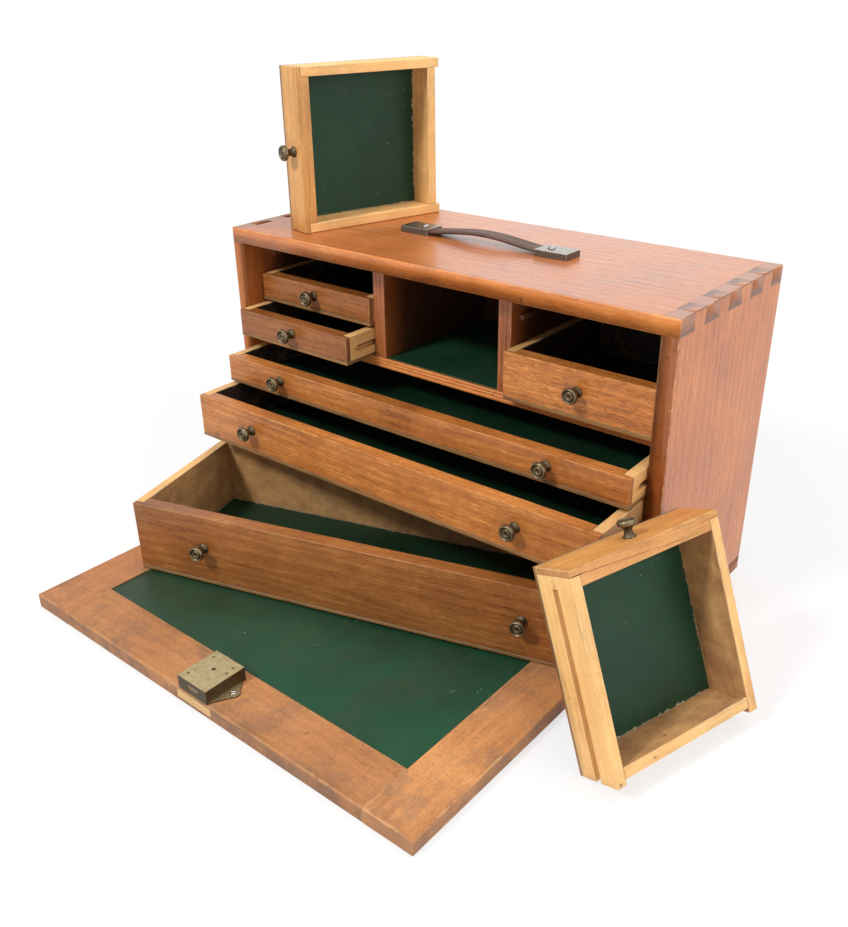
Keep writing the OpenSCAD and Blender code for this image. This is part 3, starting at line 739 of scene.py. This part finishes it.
# %% Sizes of the case
case_w, case_d, case_h, board_t, back_t = 457.0, 174.0, 281.0, 13.5, 4.5
inner = (case_w - 2 * board_t) / 2
front_y, rail_t, divider_t, set_back = -87.0, 9.0, 12.7, 23.0
shelf_z, column_z, ceiling_z, lower_rail_z = 172.0, 181.0, 267.5, 84.4
divider_left, divider_right = -72.5, 62.8
corner = np.array([case_w / 2, case_d / 2, case_h]) * 0.001


def outer_arris(edge):
    """True if both ends of an edge lie on the same two outer faces of the case."""
    a, b = (np.array(v.co) for v in edge.verts)
    tests = [abs(abs(a[0]) - corner[0]) + abs(abs(b[0]) - corner[0]) < 1e-5 and a[0] * b[0] > 0,
             abs(abs(a[1]) - corner[1]) + abs(abs(b[1]) - corner[1]) < 1e-5 and a[1] * b[1] > 0,
             abs(a[2] - corner[2]) + abs(b[2] - corner[2]) < 1e-5 or abs(a[2]) + abs(b[2]) < 1e-5]
    return sum(tests) >= 2


def rounded_copy(node, chosen, radius, segments):
    """A merged copy of a solid with the chosen edges rounded."""
    work = bmesh.new()
    work.from_mesh(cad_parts[node].data)
    bmesh.ops.remove_doubles(work, verts=work.verts, dist=1e-6)
    bmesh.ops.dissolve_limit(work, angle_limit=0.02, verts=work.verts, edges=work.edges)
    bmesh.ops.bevel(work, geom=[e for e in work.edges if chosen(e)], offset=radius,
                    segments=segments, profile=0.5, affect="EDGES", offset_type="OFFSET",
                    clamp_overlap=True)
    work.verts.index_update()
    points = np.array([v.co for v in work.verts])
    faces = [[v.index for v in f.verts] for f in work.faces]
    work.free()
    return points, faces


def case_board(node, order, seed, shade, red, front):
    """A rounded case board that knows its own grain. front is how light its front edge is."""
    points, faces = rounded_copy(node, outer_arris, 0.0009, 3)
    part = remembering(points, faces, points, order, 1.0, (shade, red, front), seed)
    piece(node + "_rounded", [part], case_oak, "case", [node])


case_board("case_top", [0, 1, 2], 3, 0.92, 0.2, 1.0)
case_board("case_bottom", [0, 1, 2], 8, 0.9, 0.2, 0.45)
case_board("case_left_side", [2, 1, 0], 5, 0.9, 0.3, 0.56)
case_board("case_right_side", [2, 1, 0], 11, 1.12, 0.25, 0.15)

# %% Back, rails, dividers and runners
def reeded(depth, thick):
    """Outline of a board with two fine reeds cut in its front edge, seen from its end."""
    third, cut = thick / 3, 0.85
    return eased_outline([(0, 0), (depth, 0), (depth, thick), (0, thick), (0, 2 * third + cut),
                          (cut, 2 * third), (0, 2 * third - cut), (0, third + cut), (cut, third),
                          (0, third - cut)], [0.8, 0.3, 0.3, 0.8] + [0.25] * 6, 2)


still = np.eye(4)
along_x, along_y, along_z = (1, 2, 0), (2, 0, 1), (0, 1, 2)


def plank(low, high, path, grain, turn=still, seed=0, shade=1.0, red=0.0, figure=0.0, ease=0.5):
    """A plain board between two corners, carried along one axis. Its outline lies in the two
    axes that follow that axis in the order x, y, z, x, so that its faces point outwards."""
    low, high = np.array(low, float), np.array(high, float)
    u, v, w = path
    outline = eased_outline(rectangle(low[u], low[v], high[u], high[v]), ease * 1.3)
    shape = straight(outline, low[w], high[w], ease)
    return board(shape, path, grain, turn, seed, shade, red, figure)


back_y, rail_y = -front_y - back_t, front_y + set_back
piece("back_board", [plank((-inner, back_y, board_t), (inner, -front_y, case_h - board_t), along_y,
                           (0, 2, 1), seed=21, shade=0.85, red=0.3, ease=0.3)],
      case_oak, "case", ["case_back"])
for name, z, depth, node in (
        ("upper_rail", shelf_z, back_y - rail_y, "upper_rail_board"),
        ("lower_rail_reeded", lower_rail_z, 34.0, "lower_rail")):
    shape = straight(reeded(depth, rail_t), -inner, inner, 0.2)
    piece(name,
          [board(shape, along_x, (0, 1, 2), moved(0, rail_y, z), 31 + depth, 1.25, 0.1, 0.85)],
          case_oak, "case", [node])
for node, x in (("left_divider", divider_left), ("right_divider", divider_right)):
    outline = reeded(back_y - rail_y, divider_t)[:, ::-1][::-1]
    shape = straight(outline, column_z, ceiling_z, 0.2)
    piece(node + "_reeded",
          [board(shape, along_z, (2, 1, 0), moved(x, rail_y, 0), 40 + x, 0.95, 0.5, 0.5)],
          case_oak, "case", [node])

runner_h, runner_out, runner_y, runner_l, runner_drop = 4.5, 3.6, -52.5, 135.0, 0.2


def runner(x, side, drawer_z, drawer_h, seed):
    """A strip on a wall at x, standing out to its side."""
    z = drawer_z + drawer_h / 2 - runner_h / 2 + runner_drop
    low = np.array([x if side > 0 else x - runner_out, runner_y, z])
    return plank(low, low + (runner_out, runner_l, runner_h), along_y, (1, 2, 0), seed=seed,
                 shade=0.95, red=0.2, ease=0.35)


# Where each drawer's floor stands, and how high the drawer is
rows = {"left_top": (237.9, 28.0), "left_middle": (209.9, 25.3), "left_lower": (181.9, 25.3),
        "right_upper": (225.1, 37.5), "right_lower": (181.9, 40.5), "shallow": (142.1, 25.3),
        "medium": (98.4, 41.0), "deep": (13.8, 66.0)}


def strips(drawers, walls, seed):
    """The strips for some drawers: one for each drawer on each of the walls."""
    return [runner(x, side, *rows[name], seed + rows[name][0])
            for name in drawers for x, side in walls]


left_strips = strips(("left_top", "left_middle", "left_lower"),
                     ((-inner, 1), (divider_left, -1)), 50)
right_strips = strips(("right_upper", "right_lower"),
                      ((divider_right + divider_t, 1), (inner, -1)), 60)
piece("short_strips", left_strips + right_strips, case_oak, "case", ["small_drawer_runners"])
piece("long_strips", strips(("shallow", "medium"), ((-inner, 1), (inner, -1)), 70), case_oak,
      "case", ["long_drawer_runners"])
piece("compartment_cloth", [plank((divider_left + divider_t, rail_y + 2, column_z),
                                  (divider_right, back_y, column_z + 0.8), along_z, (1, 0, 2),
                                  seed=81, shade=0.8, ease=0.3)],
      green_floor, "case", ["compartment_lining"])

# %% [markdown]
# ## The front panel
#
# A frame of two stiles and two rails, grooved inside for a thin green board. It lies with its
# lined face up. A pale strip is let into its front edge below the lock. Over the last stretch
# at each end of a stile the groove is filled, where the rails' tongues sit.

# %% Panel
panel_w, panel_h, panel_t, stile_w, panel_rail_w = 428.0, 252.0, 13.2, 42.6, 44.5
field_t, field_recess, field_groove = 5.0, 1.6, 6.0
field_top = panel_t - field_recess
field_z = field_top - field_t
panel_place = moved(-panel_w / 2 - 3.5, front_y - 262, 0)


def grooved(width):
    """Outline of a frame member with a groove in its inner edge, its outer edge at 0. The
    groove's points are the twelve from the third corner on."""
    lip = width - field_groove
    return eased_outline([(0, 0), (width, 0), (width, field_z), (lip, field_z), (lip, field_top),
                          (width, field_top), (width, panel_t), (0, panel_t)],
                         [1.1, 0.6, 0.45, 0.2, 0.2, 0.45, 0.6, 1.3], 2)


def flipped(shape, axis, about):
    """A shape mirrored along one direction about a place, with its faces turned back out."""
    points, faces = shape
    sign, shift = np.ones(3), np.zeros(3)
    sign[axis], shift[axis] = -1, 2 * about
    return points * sign + shift, [f[::-1] for f in faces]


member = grooved(stile_w)
field_in, field_end = panel_rail_w - field_groove, panel_h - panel_rail_w + field_groove
whole = filled(member, 6, 12)
points, faces = carried([whole, whole, member, member, whole, whole],
                        [0, field_in, field_in + 0.01, field_end, field_end + 0.01, panel_h], 0.55)
stile = (points, [f[::-1] for f in faces])
piece("panel_stile_boards",
      [board(stile, (0, 2, 1), (1, 0, 2), panel_place, 91, 1.02, 0.45),
       board(flipped(stile, 0, panel_w / 2), (0, 2, 1), (1, 0, 2), panel_place, 97, 1.32, 0.0)],
      frame_oak, "panel", ["panel_stiles"])
near = straight(grooved(panel_rail_w), stile_w, panel_w - stile_w, 0.25)
piece("panel_rail_boards",
      [board(near, along_x, (0, 1, 2), panel_place, 103, 1.0, 0.2),
       board(flipped(near, 0, panel_h / 2), along_x, (0, 1, 2), panel_place, 109, 1.0, 0.2)],
      frame_oak, "panel", ["panel_rails"])
piece("panel_green_board",
      [plank((stile_w - field_groove, field_in, field_z),
             (panel_w - stile_w + field_groove, field_end, field_top),
             along_z, (0, 1, 2), panel_place, 113, ease=0.2)],
      green_panel, "panel", ["panel_field"])
piece("filler_strip", [plank((panel_w / 2 - 19.5, -0.25, 3.4), (panel_w / 2 + 19.5, 3.0, 10.6),
                             along_x, (0, 2, 1), panel_place, 127, 0.74, 0.2, ease=0.3)],
      pale_wood, "panel", [])

# %% [markdown]
# ## Turned knobs
#
# A knob is a profile turned about its axis: radius and height follow one curve, and an angle
# carries it round. Its head is cupped, with a raised rim and a small boss.

# %% Knob surface
knob_top = 11.48
knob_curve = np.array([  # radius, height, rub
    (4.70, 0, 0.3), (4.70, 0.6, 0.35), (4.55, 1.1, 0.4), (3.7, 2.0, 0.15), (3.15, 3.2, 0.05),
    (2.95, 4.6, 0.0), (3.1, 6.0, 0.05), (3.9, 7.2, 0.15), (5.4, 8.1, 0.4), (6.45, 8.9, 0.8),
    (6.75, 9.8, 0.75), (6.7, 11.0, 0.6), (6.3, 12.0, 0.95), (5.85, 12.5, 1.0), (5.35, 12.4, 0.8),
    (4.85, 11.7, 0.2), (4.35, 11.2, 0.0), (3.85, 11.3, 0.0), (3.4, 12.0, 0.6), (2.9, 12.25, 0.8),
    (2.0, 12.1, 0.6), (1.5, 11.6, 0.1), (0.9, 11.5, 0.05), (0.0, knob_top, 0.05)])


def smoothed(v):
    """Corner cutting: each stretch is replaced by its points at 1/4 and 3/4."""
    cut = np.stack([0.75 * v[:-1] + 0.25 * v[1:], 0.25 * v[:-1] + 0.75 * v[1:]], 1)
    return np.concatenate([v[:1], cut.reshape(-1, v.shape[1]), v[-1:]])


def turned_knob(place, count=40):
    """(r cos a, -h, r sin a) for the profile's radius r and height h, and the angle a."""
    profile = smoothed(knob_curve)[:-1]
    shape = len(profile), count
    angle = np.arange(count) * 2 * np.pi / count
    r, h, rub = (profile[:, i, None] for i in range(3))
    ring = np.stack([r * np.cos(angle), np.broadcast_to(-h, shape), r * np.sin(angle)], 2)
    points = np.concatenate([ring.reshape(-1, 3), [[0, -knob_top, 0], [0, 0, 0]]])
    last, tip, foot = (len(profile) - 1) * count, len(points) - 2, len(points) - 1
    j = np.arange(count)
    faces = grid_faces(*shape).tolist()
    faces += np.stack([last + j, last + (j + 1) % count, np.full(count, tip)], 1).tolist()
    faces += np.stack([(j + 1) % count, j, np.full(count, foot)], 1).tolist()
    return {"points": placed(points, place), "faces": faces,
            "rub": np.concatenate([np.broadcast_to(rub, shape).ravel(), [0.05, 0.2]])}


# %% [markdown]
# ## Drawers
#
# All eight are made alike: an oak front, rebated at both ends for the pale sides, a pale back
# set in between them, and a thin bottom nailed on below. The sides have a groove that runs on
# the strips, stopped behind the front. Each drawer is drawn from its own corner and then put
# in place whole, so its grain goes with it wherever it lies.

# %% One drawer
depth, front_t, side_t, bottom_t, lap, overrun = 149.0, 12.8, 8.3, 2.8, 5.0, 4.0
groove_in, groove_h, groove_stop = 4.2, 5.5, 14.0


def rebated_front(w):
    """Plan of a front: a board with a step at each end for the side that laps into it."""
    return eased_outline([(0, 0), (w, 0), (w, lap - 0.12), (w - side_t - 0.1, lap - 0.12),
                          (w - side_t - 0.1, front_t), (side_t + 0.1, front_t),
                          (side_t + 0.1, lap - 0.12), (0, lap - 0.12)],
                         [1.0, 1.0, 0.6, 0.2, 0.6, 0.6, 0.2, 0.6], 3)


def drawer_side(w, h, right_hand, is_grooved):
    """A side's outline (z, x) from below upwards along its outer face. The groove's points
    start with the second corner; filled in, they give the stretch before the stop."""
    low, z1, z2 = bottom_t + 0.05, h / 2 - groove_h / 2, h / 2 + groove_h / 2
    cut = eased_outline([(low, 0), (z1, 0), (z1, groove_in), (z2, groove_in), (z2, 0), (h, 0),
                         (h, side_t), (low, side_t)],
                        [0.5, 0.45, 0.15, 0.15, 0.45, 0.7, 0.7, 0.5], 2)
    whole = filled(cut, 3, 12)
    if is_grooved:
        shape = carried([whole, whole, cut, cut],
                        [lap, groove_stop, groove_stop + 0.01, depth], 0.4)
    else:
        shape = straight(whole, lap, depth, 0.4)
    return flipped(shape, 1, w / 2) if right_hand else shape


def drawer(name, w, place, knobs, seed, shade, red, figure, side_shade=0.95, dirt_and_shade=1.0,
           cloth=0.42, is_grooved=True, oak=front_oak):
    """The four pieces of one drawer. shade, red and figure are its front's. The value after
    side_shade darkens its walls inside, with brown grime when low and near-black painted shade
    when high; cloth is the shade of its lining, and its low default is painted shade for the
    drawers still in the case."""
    body, h = name + "_drawer", rows[name][1]
    front = straight(rebated_front(w), bottom_t + 0.05, h, 0.55)
    piece(body + "_oak_front", [board(front, along_z, (0, 2, 1), place, seed, shade, red, figure)],
          oak, body, [body + "_front"])
    sides = [board(drawer_side(w, h, hand, is_grooved), along_y, (1, 2, 0), place,
                   seed + 3 + 2 * hand, side_shade, dirt_and_shade, -1.0 if hand else 1.0)
             for hand in (False, True)]
    back = plank((side_t + 0.1, depth - overrun - side_t, bottom_t + 0.05),
                 (w - side_t - 0.1, depth - overrun, h), along_x, (0, 2, 1), place, seed + 7,
                 side_shade * 0.97, dirt_and_shade, -1.0, ease=0.5)
    piece(body + "_pale_walls", sides + [back], pale_wood, body, [body + "_walls"])
    base = plank((0, 0, 0), (w, depth, bottom_t), along_z, (0, 1, 2), place, seed + 11, cloth,
                 ease=0.35)
    piece(body + "_lined_bottom", [base], green_board, body, [body + "_bottom"])
    turned_knobs = [turned_knob(place @ moved(x, 0, h / 2 + 2.5) @ turned("Y", 37.0 * i + seed))
                    for i, x in enumerate(knobs)]
    piece(body + "_turned_knob", turned_knobs, bronze, body,
          [body + ("_knobs" if len(knobs) > 1 else "_knob")], weighted=False)


# %% All eight drawers
left_w, right_w, long_w, small_gap, closed_y = 140.0, 137.0, 426.6, 1.25, front_y + 19.5
play, medium_out, rest_gap = 3.0, 92, 0.3
left_x, right_x, long_x = -inner + small_gap, inner - small_gap - right_w, -inner + 0.2 + play
yaw = np.degrees(np.arcsin(play / depth))
askew = turned("Z", yaw)


def in_bay(name, x, out):
    """The place of a drawer in its bay, drawn out by so many millimetres."""
    return moved(x, closed_y - out, rows[name][0])


corner_x = long_x + long_w * np.cos(np.radians(yaw))
corner_y = closed_y - medium_out + long_w * np.sin(np.radians(yaw))
leaning = (moved(corner_x + 39.9, corner_y - 74.6, rest_gap) @ turned("Z", 74)
           @ turned("X", -23) @ turned("Z", 180) @ turned("X", -90) @ moved(-right_w, -depth, 0))
upright = (moved(-case_w / 2 + 51.5, front_y + 27.5, case_h + rest_gap + left_w)
           @ turned("Z", 75) @ turned("Z", -90) @ turned("Y", 90))
lying = moved(-case_w / 2 + 47.5, front_y - 179, rows["deep"][0]) @ turned("Z", 17)
left_knob, right_knob, two_knobs = [left_w / 2], [right_w / 2], [70, long_w - 70]
# After the knobs: the seed, the front's shade, red and figure, then where they aren't the
# usual ones the walls' shade, how dark their insides are made (grime when low, near-black
# painted shade when high), the cloth's shade and whether the walls are grooved. The usual
# values of the last two are painted shade for the drawers still in the case.
# The upright drawer's paler oak front and lighter walls are partly painted light.
drawer("left_top", left_w, upright, left_knob, 131, 1.0, 0.0, 0.1, 1.12, 0.10, 0.85,
       oak=pale_and_lit_oak)
drawer("left_middle", left_w, in_bay("left_middle", left_x, 1), left_knob, 151, 0.76, 0.3, 0.15)
drawer("left_lower", left_w, in_bay("left_lower", left_x, 32), left_knob, 171, 0.66, 0.4, 0.1)
drawer("right_upper", right_w, leaning, right_knob, 191, 1.0, 0.4, 0.2, 1.02, 0.62, 0.88,
       oak=pale_and_lit_oak)
drawer("right_lower", right_w, in_bay("right_lower", right_x, 8), right_knob, 211, 1.34, 0.0, 1.0)
drawer("shallow", long_w, in_bay("shallow", long_x, 53) @ askew, two_knobs, 231, 1.08, 0.15, 0.25)
drawer("medium", long_w, in_bay("medium", long_x, medium_out) @ askew, two_knobs, 251,
       1.18, 0.05, 0.35)
drawer("deep", long_w, lying, two_knobs, 271, 0.73, 0.1, 0.1, 1.0, 0.58, 0.62, False)

# %% [markdown]
# ## Handle
#
# A leather strap runs between two folded steel plates, each held by a domed stud. The strap
# is a rounded section carried along a low arch; the plates are rounded copies of their solids.

# %% Strap, plates and studs
reach, cap_spacing, cap_l, cap_h, cap_wall, rest = 57.0, 145.0, 31.0, 5.6, 1.2, 0.3
handle_y = front_y + 90


def strap(count=81, around=120):
    """Centre line (x, 0, z(x)) with z = 5 cos^1.4 over the arch; section a superellipse whose
    half width is 8.75 and half thickness 1.6 mm, with four grooves pressed in its upper face,
    each 0.3 exp(-(w / 0.55)^2) deep at the distance w from its middle."""
    half = cap_spacing / 2 + cap_l / 4
    x = np.linspace(-half, half, count)
    arch = np.cos(np.pi / 2 * np.clip(x / reach, -1, 1))
    lift = np.where(np.abs(x) < reach, 5.0 * np.clip(arch, 0, 1) ** 1.4, 0.0)
    a = np.arange(around) * 2 * np.pi / around
    wide = 8.75 * np.sign(np.cos(a)) * np.abs(np.cos(a)) ** 0.55
    thick = 1.6 * np.sign(np.sin(a)) * np.abs(np.sin(a)) ** 0.55
    groove = sum(np.exp(-((wide - w) / 0.55) ** 2) for w in (-6.1, -2.1, 2.1, 6.1))
    groove = groove * (np.sin(a) > 0)
    waist = 1 - 0.05 * arch ** 2
    points = np.stack([np.broadcast_to(x[:, None], (count, around)), wide[None] * waist[:, None],
                       lift[:, None] + (thick - 0.3 * groove)[None] + cap_wall + rest + 1.6], 2)
    faces = grid_faces(count, around).tolist()
    faces += [list(range(around))[::-1], list(range(around * (count - 1), around * count))]
    rub = np.clip(np.sin(a), 0, 1) * (1 - 0.9 * np.clip(groove, 0, 1))
    rub = rub[None] * (0.45 + 0.55 * np.cos(np.pi / 2 * np.clip(x / half, -1, 1)))[:, None]
    return {"points": placed(points.reshape(-1, 3), moved(0, handle_y, case_h)), "faces": faces,
            "rub": rub.ravel()}


def dome(place, radius, height, count=28, slot=0.0):
    """(r cos a, r sin a, z) with r = R sin t and z = H cos t, for t from 0 at the top to 90
    degrees at the rim, closed below. A slot presses in the points nearer to the x axis than
    its half width."""
    t = np.linspace(0.06, np.pi / 2, 8 if not slot else 16)
    rows = len(t)
    a = np.arange(count) * 2 * np.pi / count
    r, z = radius * np.sin(t)[:, None], height * np.cos(t)[:, None]
    ring = np.stack([r * np.cos(a), r * np.sin(a), np.broadcast_to(z, (rows, count))], 2)[::-1]
    points = np.concatenate([ring.reshape(-1, 3), [[0, 0, height]]])
    pressed = np.clip(1.6 - np.abs(points[:, 1]) / slot, 0, 1) if slot else np.zeros(len(points))
    points[:, 2] *= 1 - 0.55 * pressed
    j = np.arange(count)
    top = (rows - 1) * count
    faces = grid_faces(rows, count).tolist() + [j[::-1].tolist()]
    faces += np.stack([top + j, top + (j + 1) % count, np.full(count, rows * count)], 1).tolist()
    rub = np.concatenate([np.repeat(np.linspace(0.3, 1, rows), count), [1.0]]) * (1 - pressed)
    return {"points": placed(points, place), "faces": faces, "rub": rub}


def sharp(edge):
    """True if the normals of an edge's two faces are more than 50 degrees apart."""
    return edge.is_manifold and edge.calc_face_angle(0) > np.radians(50)


def rubbed_copy(node, radius, segments, flat, upper, arris):
    """A rounded copy of a solid in metal, its faces parted so that each has its own rub: flat,
    more by upper where it looks up, and arris on the rounded edges. The extra where it looks up
    is partly rubbing and partly painted light, and it leaves the sides, such as the lock's front,
    darker as painted shade. Half the sum of p x q over a face's edges p to q is its normal."""
    points, faces = rounded_copy(node, sharp, radius, segments)
    rub = []
    for face in faces:
        p, q = points[face], points[np.roll(face, -1)]
        normal = np.cross(p, q).sum(0)
        normal /= np.linalg.norm(normal) + 1e-15
        is_arris = np.abs(normal).max() < 0.97
        # Faces that look up get more: partly rubbing, partly painted light.
        rub += [arris if is_arris else flat + upper * max(normal[2], 0)] * len(face)
    loose = np.cumsum([0] + [len(f) for f in faces])
    return {"points": points[np.concatenate(faces)], "rub": np.array(rub),
            "faces": [list(range(a, b)) for a, b in zip(loose[:-1], loose[1:])]}


stud_x = cap_spacing / 2 - cap_l / 6
piece("leather_strap", [strap()], leather, "case", ["handle_strap"], weighted=False)
piece("folded_plates", [rubbed_copy("handle_end_plates", 0.0009, 3, 0.08, 0.26, 1.0)], steel,
      "case", ["handle_end_plates"])
piece("domed_studs", [dome(moved(x, handle_y, case_h + cap_h), 3.3, 1.85)
                      for x in (-stud_x, stud_x)], steel, "case", ["handle_studs"], weighted=False)

# %% [markdown]
# ## Lock
#
# A brass box with two ears, screwed to the panel's rail: its bolt looks out of a slot in
# front. The box is a rounded copy of its solid; screws and rivets are shallow domes.

# %% Lock
lock_place = panel_place @ moved(panel_w / 2, 0, panel_t)
plate_t, box_top = 1.4, 11.95
# The lock's top is made bright and its front dark: partly rubbing, partly painted shade on the
# front.
piece("lock_box", [rubbed_copy("lock_case", 0.0005, 2, 0.03, 0.86, 0.18)], lock_brass, "panel",
      ["lock_case"])
piece("bolt", [rubbed_copy("lock_bolt", 0.0004, 2, 0.3, 0.5, 0.8)], lock_brass, "lock_bolt",
      ["lock_bolt"])
piece("key_pin", [dome(lock_place @ moved(0, 21.19, plate_t), 1.2, 10.6, 20)], lock_brass,
      "panel", ["lock_key_pin"], weighted=False)
piece("ear_screws", [dome(lock_place @ moved(side * 21.75, 20.6, plate_t)
                          @ turned("Z", 35 * side), 2.6, 1.15, 40, 0.42) for side in (-1, 1)],
      steel, "panel", ["lock_screws"], weighted=False)
piece("lock_rivets", [dome(lock_place @ moved(x, y, box_top), 1.3, 0.55, 16)
                      for x, y in ((-11.5, 30.5), (10.5, 31.0), (11.5, 24.0), (-11.5, 6.5))],
      bronze, "panel", [], weighted=False)
